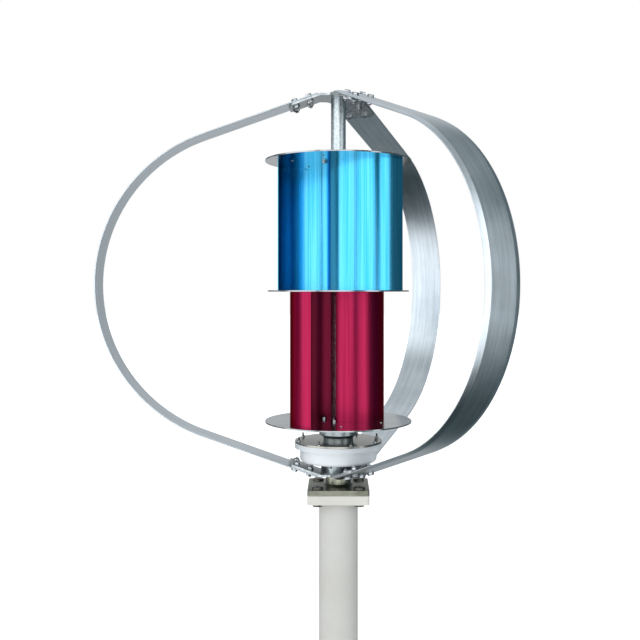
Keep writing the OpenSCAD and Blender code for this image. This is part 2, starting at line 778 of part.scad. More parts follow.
// All that lies under a flat top whose three sides fall away past the bend
module bent_block(top, bend_x) {
  far = 2 * arm_end_r;
  low = top - 3 * far * tan(blade_slope);
  intersection_for (i = [0:2]) rotate(i * 120) translate([0, far, 0]) rotate([90, 0, 0])
    linear_extrude(2 * far)
      polygon([[-far, low], [far, low], [far, top - (far - bend_x) * tan(blade_slope)],
        [bend_x, top], [-far, top]]);
}

module spider(hole_r) {
  reach = 2 * arm_end_r;
  difference() {
    rotate(blade_phase) difference() {
      intersection() {
        translate([0, 0, half_h - arm_end_r]) linear_extrude(reach) spider_plan();
        bent_block(half_h, bend_r);
      }
      bent_block(half_h - spider_t, bend_r - spider_t * tan(blade_slope / 2));
    }
    translate([0, 0, half_h - 2 * spider_t]) cylinder(r = hole_r, h = 3 * spider_t);
    for (i = [0:2]) on_arm(blade_phase + i * 120) at_blade_bolts() translate([0, 0, -2 * spider_t])
      cylinder(r = blade_bolt_d / 2 + hole_play, h = 3 * spider_t);
  }
}

module top_spider() {
  color("darkslategray") from_middle() spider(top_bolt_d / 2 + hole_play);
}

module bottom_spider() {
  color("darkslategray") difference() {
    from_middle() mirror([0, 0, 1]) spider(shoulder_r + 2);
    around(3, spider_screw_r, blade_phase + 60) translate([0, 0, spider_low_z]) mirror([0, 0, 1])
      flush_hole(spider_screw_d, spider_screw_len);
  }
}

module arm_bolts() {
  len = blade_t + spider_t + nut_h(blade_bolt_d) + 3;
  for (i = [0:2]) on_arm(blade_phase + i * 120) at_blade_bolts() translate([0, 0, blade_t])
    hex_bolt(blade_bolt_d, len);
}

module arm_nuts() {
  for (i = [0:2]) on_arm(blade_phase + i * 120) at_blade_bolts()
    translate([0, 0, -spider_t - nut_h(blade_bolt_d)]) hex_nut(blade_bolt_d);
}

module top_spider_bolts() { color("silver") from_middle() arm_bolts(); }
module top_spider_nuts() { color("silver") from_middle() arm_nuts(); }
module bottom_spider_bolts() { color("silver") from_middle() mirror([0, 0, 1]) arm_bolts(); }
module bottom_spider_nuts() { color("silver") from_middle() mirror([0, 0, 1]) arm_nuts(); }

// Section of a blade: x across its width, y through its thickness from the flat inner face.
// The straight ends are drawn thinner all round by inset, so that they join the arc cleanly.
module blade_section(inset = 0) {
  nose_r = blade_edge_t / 2;
  edge_x = blade_w / 2 - nose_r;
  polygon([[-edge_x, inset], [edge_x, inset], [edge_x, blade_edge_t - inset],
    [blade_band_w / 2, blade_t - inset], [-blade_band_w / 2, blade_t - inset],
    [-edge_x, blade_edge_t - inset]]);
  for (x = [-1, 1]) translate([x * edge_x, nose_r]) circle(nose_r - inset);
}

module blade(index) {
  turn = blade_phase + index * 120;
  color("lightslategray") from_middle() difference() {
    union() {
      rotate(turn) translate([arc_centre_r, 0, 0]) rotate([90, 0, 0]) rotate(-arc_half)
        rotate_extrude(angle = 2 * arc_half) translate([arc_r, 0]) rotate(-90) blade_section();
      both_ends() on_arm(turn) translate([strap_start, 0, 0]) rotate([90, 0, 90])
        linear_extrude(strap_len + join) blade_section(inset = 0.02);
    }
    both_ends() on_arm(turn) at_blade_bolts() translate([0, 0, -1])
      cylinder(r = blade_bolt_d / 2 + hole_play, h = blade_t + 2);
  }
}

module blade_1() { blade(0); }
module blade_2() { blade(1); }
module blade_3() { blade(2); }

mast_tube();
mast_flange();
neck_flange();
stator_shaft();
flange_bolts();
lower_bearing_inner();
upper_bearing_inner();
stator_hub();
stator_ring();
stator_coils();
stator_screws();
stator_nut();
shaft_circlip();
bottom_spider();
bottom_spider_bolts();
bottom_spider_nuts();
spider_hub_screws();
lower_hub();
hub_set_screw();
shaft_seal();
lower_bearing_outer();
hub_circlip();
hub_flange_screws();
generator_housing();
magnet_yoke();
lower_magnets();
upper_magnets();
generator_cover();
cover_studs();
cover_nuts();
cover_hub_screws();
upper_bearing_outer();
upper_hub();
upper_hub_set_screws();
bottom_disc();
bottom_disc_studs();
bottom_disc_nuts();
lower_bucket_a();
lower_bucket_b();
middle_disc();
upper_bucket_a();
upper_bucket_b();
top_disc();
top_collar();
top_collar_set_screws();
top_disc_bolts();
disc_rivets();
rotor_shaft();
shaft_plug();
shaft_top_bolt();
top_spider();
top_spider_bolts();
top_spider_nuts();
blade_1();
blade_2();
blade_3();
lower_bearing_balls();
lower_bearing_cage();
upper_bearing_balls();
upper_bearing_cage();
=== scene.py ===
"""Finishes, fastener detail, stage and camera for a small vertical axis wind turbine.

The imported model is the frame: its sub-parts keep their places and get their finishes here. Copies
with finer detail stand for the hexagon bolts and nuts, the studs, the plates, the hubs and the
housing. Thin nuts and a ring of weld beads are added under the pole's flange.
"""

import json
import math

import bmesh
import bpy
import numpy as np
from bpy.props import FloatProperty, FloatVectorProperty, IntProperty, PointerProperty
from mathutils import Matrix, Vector

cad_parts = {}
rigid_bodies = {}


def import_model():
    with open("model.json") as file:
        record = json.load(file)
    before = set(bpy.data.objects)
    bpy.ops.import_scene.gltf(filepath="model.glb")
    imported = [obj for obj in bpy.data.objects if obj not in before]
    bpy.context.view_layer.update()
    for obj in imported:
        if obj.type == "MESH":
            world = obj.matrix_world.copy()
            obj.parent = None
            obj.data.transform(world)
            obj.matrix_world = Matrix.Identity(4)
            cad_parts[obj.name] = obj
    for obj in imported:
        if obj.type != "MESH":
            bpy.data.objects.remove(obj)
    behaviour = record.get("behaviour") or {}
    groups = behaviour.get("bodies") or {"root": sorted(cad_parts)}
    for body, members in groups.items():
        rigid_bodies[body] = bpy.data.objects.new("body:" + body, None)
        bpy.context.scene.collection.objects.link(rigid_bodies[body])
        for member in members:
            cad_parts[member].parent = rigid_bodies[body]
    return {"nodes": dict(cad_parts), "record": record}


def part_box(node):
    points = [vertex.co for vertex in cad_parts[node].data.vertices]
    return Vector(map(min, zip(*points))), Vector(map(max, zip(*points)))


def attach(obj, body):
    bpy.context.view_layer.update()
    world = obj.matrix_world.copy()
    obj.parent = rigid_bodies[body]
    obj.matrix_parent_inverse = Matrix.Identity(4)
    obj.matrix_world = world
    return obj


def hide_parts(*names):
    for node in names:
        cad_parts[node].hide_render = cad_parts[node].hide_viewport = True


bl_info = {
    "name": "Vertical axis turbine",
    "version": (1, 0, 0),
    "blender": (4, 5, 0),
    "location": "3D View > Sidebar > Turbine",
    "description": "Finishes, fasteners, stage and camera for a vertical axis wind turbine",
    "category": "Object",
}

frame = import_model()
NODES = frame["nodes"]
SLOT_OF = {row["node"]: row["material_slot"] for row in frame["record"]["subparts"]}
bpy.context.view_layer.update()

MM = 0.001
SAME_PLACE = 0.001 * MM  # corners closer than this are one corner
MASK_EDGE = 0.2 * MM  # half of the width over which a round mask fades
HEAD_OFFSET = 0.5 * MM  # how far a fastener's wide part lies from its middle, if it has a head
WELD_WIDTH = 8 * MM  # from the pole's wall to the outside of its weld
BEAD_OUT = 0.9 * MM  # from the pole's wall to the middle of a bead
BEAD_DOWN = 1.6 * MM  # from the flange's underside to the middle of a bead

FIRST_BLADE, BLADE_STEP = 62.7, 120  # degrees about the axis

HALF_SIDE = math.pi / 6  # half of the angle that a side of a hexagon spans
HEX_CORNER = 1.16  # corner radius of a hexagon, in half widths across its flats
WASHER_INSIDE = 1.17  # where a washer comes out from under a hexagon, in half widths
THREAD_ROOT = 0.88  # root radius of a thread, in shank radii
THREAD_LEAD = 0.93  # radius where a cut end starts, in shank radii
CUT_END = 0.78  # radius of a cut end, in shank radii
NUT_BORE = 0.9  # bore of a nut, in shank radii
NUT_MOUTH = 1.12  # radius where the bore opens at the top, in shank radii
LEAST_BEAD, MOST_BEAD = 0.86, 1.12  # sizes of the weld's beads, in bead radii

FLAT_WITHIN = math.radians(0.3)  # faces that differ less are one flat face
EASE_FROM = math.radians(35)  # edges that turn more are eased
SHARP_EASED = math.radians(18)  # eased edges that turn more are shaded sharp
SHARP_LATHED = math.radians(32)  # the same on bolts, nuts and studs

# The studio, in degrees round from the front or up from level: low side, high side and fade. A
# name with RISE is up from level, and one with LIGHT or SHARE is a strength.
LEFT_PANEL, FRONT_PANEL, RIGHT_PANEL = (-89, -35, 3), (-29, 23, 2.5), (34, 68, 3)
PANEL_RISE = (-42, 48, 8)
LEFT_WALL, LEFT_WALL_SHARE = (-132, -89, 8), 0.40
FRONT_ARC = (-158, 160, 8)
CEILING_RISE, CEILING_LIGHT = (40, 60), 0.28
SIDES_RISE, SIDES_LIGHT = (-60, -20), 0.10
EVEN_LIGHT = 0.06

# ---- Shader maths ----


class Num:
    """A number on a socket, so that shader maths can be written as an expression."""

    def __init__(self, net, socket):
        self.net = net
        self.socket = socket

    def op(self, operation, *others):
        """A Math node on this number and others."""
        values = [self.socket] + [o.socket if isinstance(o, Num) else o for o in others]
        return self.net.number("ShaderNodeMath", {"operation": operation}, dict(enumerate(values)))

    def flipped(self, operation, other):
        """A Math node whose first number is the other one."""
        return self.net.number(
            "ShaderNodeMath", {"operation": operation}, {0: other, 1: self.socket}
        )

    def __add__(self, other):
        return self.op("ADD", other)

    __radd__ = __add__

    def __mul__(self, other):
        return self.op("MULTIPLY", other)

    __rmul__ = __mul__

    def __sub__(self, other):
        return self.op("SUBTRACT", other)

    def __rsub__(self, other):
        return self.flipped("SUBTRACT", other)

    def __neg__(self):
        return self.op("MULTIPLY", -1.0)


class Net:
    """The node tree of one material or of the world."""

    def __init__(self, tree):
        self.tree = tree
        self.tree.nodes.clear()

    def node(self, kind, settings=None, inputs=None):
        """A node of a kind, with its settings first and then its inputs, as values or links."""
        made = self.tree.nodes.new(kind)
        for name, value in (settings or {}).items():
            setattr(made, name, value)
        for key, value in (inputs or {}).items():
            value = value.socket if isinstance(value, Num) else value
            if isinstance(value, bpy.types.NodeSocket):
                self.tree.links.new(value, made.inputs[key])
            else:
                made.inputs[key].default_value = value
        return made

    def number(self, kind, settings=None, inputs=None):
        """A node's first output as a number."""
        return Num(self, self.node(kind, settings, inputs).outputs[0])

    def step(self, value, low, high):
        """0 below low, 1 above high and smooth between them."""
        settings = {"interpolation_type": "SMOOTHSTEP"}
        return self.number("ShaderNodeMapRange", settings, {0: value, 1: low, 2: high})

    def band(self, value, low, high, edge):
        """1 between low and high, fading out over edge on each side."""
        return self.step(value, low - edge, low + edge) * (
            1 - self.step(value, high - edge, high + edge)
        )

    def mix(self, factor, first, second):
        """Two colours mixed by a number."""
        settings = {"data_type": "RGBA", "blend_type": "MIX"}
        made = self.node("ShaderNodeMix", settings, {0: factor, 6: first, 7: second})
        return made.outputs[2]

    def place(self, scale=(1, 1, 1), turn=0.0):
        """Object coordinates turned about Z, then scaled."""
        coords = self.node("ShaderNodeTexCoord").outputs["Object"]
        moved = self.node(
            "ShaderNodeMapping",
            {"vector_type": "TEXTURE"},
            {"Vector": coords, "Rotation": (0, 0, turn)},
        ).outputs[0]
        settings = {"operation": "MULTIPLY"}
        return self.node("ShaderNodeVectorMath", settings, {0: moved, 1: scale}).outputs[0]

    def within(self, centre, radius):
        """1 inside an upright cylinder about centre and 0 outside it."""
        coords = self.node("ShaderNodeTexCoord").outputs["Object"]
        parts = self.node("ShaderNodeSeparateXYZ", None, {0: coords}).outputs
        x, y = Num(self, parts[0]) - centre[0], Num(self, parts[1]) - centre[1]
        distance = (x * x + y * y).op("SQRT")
        return 1 - self.step(distance, radius - MASK_EDGE, radius + MASK_EDGE)

    def noise(self, vector, scale, detail, roughness=0.5):
        """Cloudy noise, with its size as repeats in a metre."""
        inputs = {"Vector": vector, "Scale": scale, "Detail": detail, "Roughness": roughness}
        return self.number("ShaderNodeTexNoise", None, inputs)

    def bump(self, height, distance, strength):
        """Relief whose height is at most distance."""
        inputs = {"Height": height, "Distance": distance, "Strength": strength}
        return self.node("ShaderNodeBump", None, inputs).outputs[0]


MADE = {}  # materials by name


def colour(rgb):
    """A colour with its alpha."""
    return (*rgb, 1.0)


def finish(name, constants, build):
    """A material whose build(net) gives what varies, and whose constants sit on the shader."""
    if name in MADE:
        return MADE[name]
    plain = bpy.data.materials.get(name)
    if plain is not None:
        plain.name = "plain_" + name
    material = MADE[name] = bpy.data.materials.new(name)
    material.use_nodes = True
    net = Net(material.node_tree)
    shader = net.node("ShaderNodeBsdfPrincipled", None, {**constants, **build(net)})
    net.node("ShaderNodeOutputMaterial", None, {"Surface": shader.outputs[0]})
    material.diffuse_color = shader.inputs["Base Color"].default_value
    return material


# ---- Finishes ----


def anodised(name, dark, light, edge, coat, rough, painted_shade_shell, painted_shade_share):
    """Dyed anodised sheet: upright rolling streaks under a thin clear layer.

    painted_shade_shell is the shell's centre and middle radius; inside it the dye keeps only its
    painted_shade_share, a painted shade on the bucket's inner face.
    """

    def build(net):
        fine = net.noise(net.place((1, 1, 0.006)), 520, 3)
        broad = net.noise(net.place((1, 1, 0.02)), 110, 3)
        cloud = net.noise(net.place(), 9, 3)
        specks = net.step(net.noise(net.place(), 900, 1), 0.70, 0.78)
        streak = net.step(fine * 0.5 + broad * 0.5, 0.36, 0.64)
        tone = net.mix(streak * 0.8 + cloud * 0.2, colour(dark), colour(light))
        # Painted shade: the inner face of the shell is darkened towards black.
        shaded = net.mix(painted_shade_share, colour((0, 0, 0)), tone)
        tone = net.mix(net.within(*painted_shade_shell), tone, shaded)
        return {
            "Base Color": tone,
            "Roughness": rough + 0.10 * fine + 0.05 * cloud + 0.12 * specks,
            "Normal": net.bump(fine * 0.6 + broad * 2.2, 0.00012, 0.5),
        }

    constants = {
        "Metallic": 1.0,
        "Specular Tint": colour(edge),
        "Coat Weight": coat,
        "Coat Roughness": 0.14,
        "Coat IOR": 1.6,
    }
    return finish(name, constants, build)


def extruded(name, turn, dark, light):
    """Extruded strap: die lines along its length, faint handling marks across it."""

    def build(net):
        lines = net.noise(net.place((0.02, 1, 0.02), turn), 900, 3)
        broad = net.noise(net.place((0.03, 1, 0.03), turn), 130, 2)
        cloud = net.noise(net.place(), 14, 4, 0.6)
        scuffs = net.step(net.noise(net.place(), 60, 6, 0.75), 0.56, 0.72)
        tone = net.mix(
            net.step(lines * 0.4 + broad * 0.3 + cloud * 0.3, 0.32, 0.68),
            colour(dark),
            colour(light),
        )
        return {
            "Base Color": tone,
            "Roughness": 0.24 + 0.10 * lines + 0.12 * cloud + 0.08 * scuffs,
            "Normal": net.bump(lines + 0.4 * cloud, 0.00008, 0.4),
        }

    return finish(name, {"Metallic": 1.0}, build)


def galvanised(name, dark, light, grain):
    """Zinc with a mottled spangle."""

    def build(net):
        inputs = {"Vector": net.place(), "Scale": grain, "Randomness": 1.0}
        cells = net.node("ShaderNodeTexVoronoi", {"feature": "F1"}, inputs)
        spangle = net.number("ShaderNodeSeparateColor", None, {"Color": cells.outputs["Color"]})
        cloud = net.noise(net.place(), grain * 0.22, 5, 0.65)
        fine = net.noise(net.place(), grain * 5, 3)
        amount = spangle * 0.45 + cloud * 0.4 + fine * 0.15
        return {
            "Base Color": net.mix(net.step(amount, 0.25, 0.75), colour(dark), colour(light)),
            "Roughness": 0.26 + 0.12 * spangle + 0.16 * cloud,
            "Normal": net.bump(cloud + 0.5 * fine, 0.0002, 0.35),
        }

    return finish(name, {"Metallic": 1.0}, build)


def turned(name, dark, light, lathe=1400.0, rough=0.22):
    """Lathe-turned or rolled metal: fine rings around the axis and a faint stain."""

    def build(net):
        rings = net.noise(net.place((0.02, 0.02, 1)), lathe, 2)
        cloud = net.noise(net.place(), 38, 4, 0.6)
        tone = net.mix(
            net.step(rings * 0.5 + cloud * 0.5, 0.3, 0.7), colour(dark), colour(light)
        )
        return {
            "Base Color": tone,
            "Roughness": rough + 0.12 * rings + 0.12 * cloud,
            "Normal": net.bump(rings, 0.00005, 0.4),
        }

    return finish(name, {"Metallic": 1.0}, build)


def plated(name, dark, light, rough=0.2):
    """Small plated or blackened steel parts, slightly uneven."""

    def build(net):
        cloud = net.noise(net.place(), 260, 3, 0.6)
        broad = net.noise(net.place(), 40, 2)
        return {
            "Base Color": net.mix(
                net.step(cloud * 0.6 + broad * 0.4, 0.3, 0.7), colour(dark), colour(light)
            ),
            "Roughness": rough + 0.18 * cloud,
            "Normal": net.bump(cloud, 0.00006, 0.3),
        }

    return finish(name, {"Metallic": 1.0}, build)


def sheet_mirror(name, dark, light):
    """Bright rolled sheet that mirrors what stands on it, with a faint rolling grain."""

    def build(net):
        grain = net.noise(net.place((0.03, 1, 1)), 700, 3)
        cloud = net.noise(net.place(), 18, 3)
        return {
            "Base Color": net.mix(
                net.step(grain * 0.4 + cloud * 0.6, 0.3, 0.7), colour(dark), colour(light)
            ),
            "Roughness": 0.11 + 0.06 * grain + 0.06 * cloud,
            "Normal": net.bump(grain, 0.00001, 0.3),
        }

    return finish(name, {"Metallic": 1.0}, build)


def painted(name, dark, light, rough, coat, peel=0.00012):
    """Sprayed paint with a fine orange peel and a little dust."""

    def build(net):
        cloud = net.noise(net.place(), 7, 4, 0.6)
        peel_noise = net.noise(net.place(), 340, 2)
        dust = net.noise(net.place(), 1200, 2, 0.7)
        tone = net.mix(
            net.step(cloud * 0.8 + dust * 0.2, 0.3, 0.72), colour(dark), colour(light)
        )
        return {
            "Base Color": tone,
            "Roughness": rough + 0.10 * cloud + 0.05 * dust,
            "Normal": net.bump(peel_noise + 0.15 * dust, peel, 0.5),
        }

    constants = {"Metallic": 0.0, "Coat Weight": coat, "Coat Roughness": 0.12}
    return finish(name, constants, build)


def moulded(name, dark, light, rough):
    """Rubber or cast resin."""

    def build(net):
        cloud = net.noise(net.place(), 120, 4, 0.6)
        return {
            "Base Color": net.mix(cloud, colour(dark), colour(light)),
            "Roughness": rough + 0.15 * cloud,
            "Normal": net.bump(cloud, 0.0001, 0.3),
        }

    return finish(name, {"Metallic": 0.0}, build)


def bucket_finish(node, look):
    """The blue or red dye for one bucket, with painted shade on the inside of its own shell."""
    name, painted_shade_shell = "%s_%s" % (SLOT_OF[node], node[-1]), round_fit(node)
    # The last two arguments of anodised paint shade on the inside of the shell, faint on the blue
    # buckets and deeper on the red.
    if SLOT_OF[node] == "blue_anodised":
        dye, lift, edge = Vector(look.blue_dye), Vector((0.10, 0.08, 0.03)), (0.2, 0.6, 0.9)
        return anodised(name, dye * 0.82, dye * 1.1 + lift, edge, 0.4, 0.15, painted_shade_shell, 0.95)
    dye, lift, edge = Vector(look.red_dye), Vector((0.0, 0.004, 0.007)), (0.8, 0.15, 0.25)
    return anodised(name, dye * 0.75, dye * 1.1 + lift, edge, 0.04, 0.21, painted_shade_shell, look.red_painted_shade)


def blade_finish(node):
    """Extruded aluminium whose die lines run along one strap."""
    turn = math.radians(FIRST_BLADE + BLADE_STEP * (int(node[-1]) - 1))
    name = "%s_%s" % (SLOT_OF[node], node[-1])
    return extruded(name, turn, (0.55, 0.59, 0.63), (0.79, 0.84, 0.88))


def round_fit(node):
    """Centre and middle radius of a shell that stands upright."""
    flat = np.array([vertex.co[:2] for vertex in NODES[node].data.vertices])
    sums = np.column_stack((2 * flat, np.ones(len(flat))))
    x, y, rest = np.linalg.lstsq(sums, (flat**2).sum(1), rcond=None)[0]
    return (float(x), float(y)), math.sqrt(rest + x * x + y * y)


def make_finishes():
    """Every CAD slot's material, by the slot's name."""
    return {
        "pole_paint": painted("pole_paint", (0.63, 0.62, 0.585), (0.71, 0.70, 0.67), 0.46, 0.0),
        "pole_flange_paint": painted(
            "pole_flange_paint", (0.72, 0.70, 0.64), (0.82, 0.80, 0.74), 0.38, 0.1
        ),
        "flange_steel": turned("flange_steel", (0.10, 0.10, 0.075), (0.26, 0.26, 0.21), 900, 0.24),
        "flange_bolt_steel": turned(
            "flange_bolt_steel", (0.10, 0.09, 0.08), (0.26, 0.24, 0.22), 1200, 0.22
        ),
        "shaft_steel": turned("shaft_steel", (0.22, 0.22, 0.16), (0.40, 0.40, 0.33), 1600, 0.14),
        "bearing_steel": plated("bearing_steel", (0.70, 0.71, 0.74), (0.82, 0.83, 0.85), 0.08),
        "cage_brass": plated("cage_brass", (0.62, 0.44, 0.16), (0.78, 0.60, 0.28), 0.22),
        "stator_aluminium": turned("stator_aluminium", (0.66, 0.67, 0.69), (0.8, 0.8, 0.82)),
        "stator_resin": moulded("stator_resin", (0.20, 0.10, 0.04), (0.34, 0.20, 0.10), 0.3),
        "coil_copper": turned("coil_copper", (0.50, 0.20, 0.08), (0.78, 0.40, 0.20), 2600, 0.3),
        "plated_steel": plated("plated_steel", (0.24, 0.25, 0.26), (0.56, 0.57, 0.58), 0.08),
        "dark_steel": plated("dark_steel", (0.05, 0.05, 0.055), (0.12, 0.12, 0.13), 0.32),
        "galvanised_plate": galvanised(
            "galvanised_plate", (0.34, 0.36, 0.37), (0.60, 0.62, 0.63), 150
        ),
        "galvanised_tube": galvanised(
            "galvanised_tube", (0.50, 0.55, 0.57), (0.70, 0.75, 0.77), 260
        ),
        "hub_aluminium": turned("hub_aluminium", (0.26, 0.29, 0.30), (0.44, 0.48, 0.50), 1300),
        "seal_rubber": moulded("seal_rubber", (0.010, 0.010, 0.011), (0.03, 0.03, 0.03), 0.5),
        "housing_paint": painted(
            "housing_paint", (0.86, 0.90, 0.94), (0.92, 0.96, 0.99), 0.34, 0.25, 0.00005
        ),
        "cover_steel": turned("cover_steel", (0.30, 0.28, 0.25), (0.44, 0.42, 0.38), 500, 0.13),
        "magnet_nickel": plated("magnet_nickel", (0.58, 0.56, 0.52), (0.74, 0.72, 0.68), 0.12),
        "disc_aluminium": sheet_mirror("disc_aluminium", (0.32, 0.325, 0.33), (0.43, 0.44, 0.45)),
        "rivet_aluminium": plated("rivet_aluminium", (0.80, 0.80, 0.80), (0.92, 0.92, 0.92), 0.25),
    }


# ---- Shapes and their places ----


def node_body(node):
    """The body that a CAD node rides on."""
    return NODES[node].parent.name.removeprefix("body:")


def solids(node):
    """The points of each loose solid of a CAD node."""
    shape = bmesh.new()
    shape.from_mesh(NODES[node].data)
    bmesh.ops.remove_doubles(shape, verts=shape.verts, dist=SAME_PLACE)
    seen, found = set(), []
    for first in shape.verts:
        if first in seen:
            continue
        seen.add(first)
        group = [first]
        for vertex in group:
            for edge in vertex.link_edges:
                other = edge.other_vert(vertex)
                if other not in seen:
                    seen.add(other)
                    group.append(other)
        found.append(np.array([vertex.co for vertex in group]))
    shape.free()
    return found


def measured(points):
    """A fastener's outer end, the way it faces, and its radii and heights in metres."""
    middle = points.mean(0)
    spread, ways = np.linalg.eigh(np.cov((points - middle).T))
    axis = ways[:, 2] if spread[1] - spread[0] < spread[2] - spread[1] else ways[:, 0]
    axis = axis * (1 if axis[2] > 0 else -1)
    along = (points - middle) @ axis
    across = np.linalg.norm(points - middle - np.outer(along, axis), axis=1)
    wide = across > 0.8 * across.max()
    if along[wide].mean() < (along.max() + along.min()) / 2 - HEAD_OFFSET:
        axis, along = -axis, -along
    narrow = across[~wide]
    return {
        "end": middle + axis * along.max(),
        "facing": axis,
        "head_r": float(across.max()),
        "head_h": float(np.ptp(along[wide])),
        "shank_r": float(narrow.max()) if len(narrow) else float(across.max()),
        "length": float(np.ptp(along)),
    }


def plate_foot():
    """Height of the underside of the pole flange's plate, outside its weld."""
    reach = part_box("mast_tube")[1].x + WELD_WIDTH
    corners = (vertex.co for vertex in NODES["mast_flange"].data.vertices)
    return min(corner.z for corner in corners if corner.to_2d().length > reach)


def lathed(name, rings, loop=False, sides=36):
    """A closed shape from rings of (height, round radius, hexagon's half width or None)."""
    mesh = bpy.data.meshes.new(name)
    shape = bmesh.new()
    rows = []
    for height, radius, flat in rings:
        row = []
        for side in range(sides):
            turn = 2 * math.pi * side / sides
            reach = radius
            if flat:
                corner = (turn + HALF_SIDE) % (2 * HALF_SIDE) - HALF_SIDE
                reach = min(radius, flat / math.cos(corner))
            row.append(shape.verts.new((reach * math.cos(turn), reach * math.sin(turn), height)))
        rows.append(row)
    pairs = list(zip(rows, rows[1:]))
    if loop:
        pairs.append((rows[-1], rows[0]))
    else:
        for row in (rows[0], rows[-1]):
            shape.faces.new(row)
    for upper, lower in pairs:
        for side in range(sides):
            after = (side + 1) % sides
            shape.faces.new((upper[side], upper[after], lower[after], lower[side]))
    bmesh.ops.recalc_face_normals(shape, faces=shape.faces)
    shape.to_mesh(mesh)
    shape.free()
    mesh.shade_smooth()
    mesh.set_sharp_from_angle(angle=SHARP_LATHED)
    return bpy.data.objects.new(name, mesh)


def thread_rings(radius, top, bottom, pitch):
    """Ridges down a thread, and the cut end below them."""
    rings = []
    count = int((top - bottom - 0.9 * pitch) / pitch)
    for ridge in range(max(count, 0)):
        height = top - ridge * pitch
        rings.append((height - 0.25 * pitch, radius, None))
        rings.append((height - 0.75 * pitch, THREAD_ROOT * radius, None))
    rings.append((bottom + 0.35 * pitch, THREAD_LEAD * radius, None))
    rings.append((bottom, CUT_END * radius, None))
    return rings


def hexagon_rings(flat, top, bottom):
    """A hexagon whose top corners are cut round, down to its foot."""
    height = top - bottom
    return [
        (top, 0.92 * flat, None),
        (top - 0.07 * height, 0.985 * flat, None),
        (top - 0.15 * height, 1.05 * flat, flat),
        (top - 0.27 * height, HEX_CORNER * flat, flat),
        (bottom, HEX_CORNER * flat, flat),
    ]


def washer_rings(inner, reach, top, bottom):
    """A washer under a hexagon, from where it comes out to its foot."""
    edge = 0.25 * (top - bottom)
    return [
        (top, inner, None),
        (top, reach - edge, None),
        (top - edge, reach, None),
        (bottom, reach, None),
    ]


def bolt(name, size, kit):
    """A hexagon bolt with its washer, hanging from the middle of its head's top."""
    flat = size["head_r"] * math.cos(HALF_SIDE)
    foot, shank = -size["head_h"], size["shank_r"]
    pitch = kit.pitch_share * shank
    rings = hexagon_rings(flat, 0, foot + kit.washer_t)
    reach = kit.washer_share * flat
    rings += washer_rings(WASHER_INSIDE * flat, reach, foot + kit.washer_t, foot)
    rings += [(foot, shank, None)]
    top = max(-size["length"] + kit.thread_share * shank, foot)
    rings += [(top, shank, None)] if top < foot - pitch else []
    rings += thread_rings(shank, top, -size["length"], pitch)
    return lathed(name, rings)


def nut(name, size, kit, shank):
    """A hexagon nut on its washer, with its bore open."""
    flat = size["head_r"] * math.cos(HALF_SIDE)
    foot, bore = -size["length"], NUT_BORE * shank
    rings = [(-0.02 * size["length"], bore, None), (0, NUT_MOUTH * shank, None)]
    rings += hexagon_rings(flat, 0, foot + kit.washer_t)
    reach = kit.washer_share * flat
    rings += washer_rings(WASHER_INSIDE * flat, reach, foot + kit.washer_t, foot)
    rings += [(foot, bore, None)]
    return lathed(name, rings, loop=True)


def stud(name, size, kit):
    """A threaded stud with both ends cut round."""
    radius, pitch = size["head_r"], kit.pitch_share * size["head_r"]
    rings = [(0, CUT_END * radius, None), (-0.35 * pitch, THREAD_LEAD * radius, None)]
    rings += thread_rings(radius, -0.5 * pitch, -size["length"], pitch)
    return lathed(name, rings)


# ---- Geometry Nodes ----


def new_tree(name, inputs):
    """A geometry tree with named inputs, and the identifier of each."""
    tree = bpy.data.node_groups.new(name, "GeometryNodeTree")
    tree.is_modifier = True
    keys = {
        title: tree.interface.new_socket(title, in_out="INPUT", socket_type=kind).identifier
        for title, kind in inputs.items()
    }
    tree.interface.new_socket("Geometry", in_out="OUTPUT", socket_type="NodeSocketGeometry")
    return tree, keys


def close_tree(net, instances, finish_socket):
    """Real geometry with its finish at the end of a tree."""
    real = net.node("GeometryNodeRealizeInstances", None, {0: instances}).outputs[0]
    done = net.node("GeometryNodeSetMaterial", None, {"Geometry": real, "Material": finish_socket})
    net.node("NodeGroupOutput", None, {0: done.outputs[0]})


def fastener_tree():
    """One fastener on each point, along the point's facing and turned at random on its axis."""
    tree, keys = new_tree(
        "fastener_set",
        {
            "Geometry": "NodeSocketGeometry",
            "Fastener": "NodeSocketObject",
            "Most turn": "NodeSocketFloat",
            "Seed": "NodeSocketInt",
            "Finish": "NodeSocketMaterial",
        },
    )
    net = Net(tree)
    given = net.node("NodeGroupInput").outputs
    facing = net.node(
        "GeometryNodeInputNamedAttribute", {"data_type": "FLOAT_VECTOR"}, {"Name": "facing"}
    ).outputs["Attribute"]
    aligned = net.node(
        "FunctionNodeAlignRotationToVector", {"axis": "Z"}, {"Vector": facing}
    ).outputs[0]
    chance = net.node(
        "FunctionNodeRandomValue",
        {"data_type": "FLOAT"},
        {2: 0.0, 3: given["Most turn"], "Seed": given["Seed"]},
    ).outputs[1]
    spin = net.node(
        "FunctionNodeAxisAngleToRotation", None, {"Axis": (0, 0, 1), "Angle": chance}
    ).outputs[0]
    turn = net.node(
        "FunctionNodeRotateRotation", {"rotation_space": "LOCAL"}, {0: aligned, 1: spin}
    ).outputs[0]
    shape = net.node("GeometryNodeObjectInfo", None, {"Object": given["Fastener"]})
    placed = net.node(
        "GeometryNodeInstanceOnPoints",
        None,
        {"Points": given["Geometry"], "Instance": shape.outputs["Geometry"], "Rotation": turn},
    )
    close_tree(net, placed.outputs[0], given["Finish"])
    return tree, keys


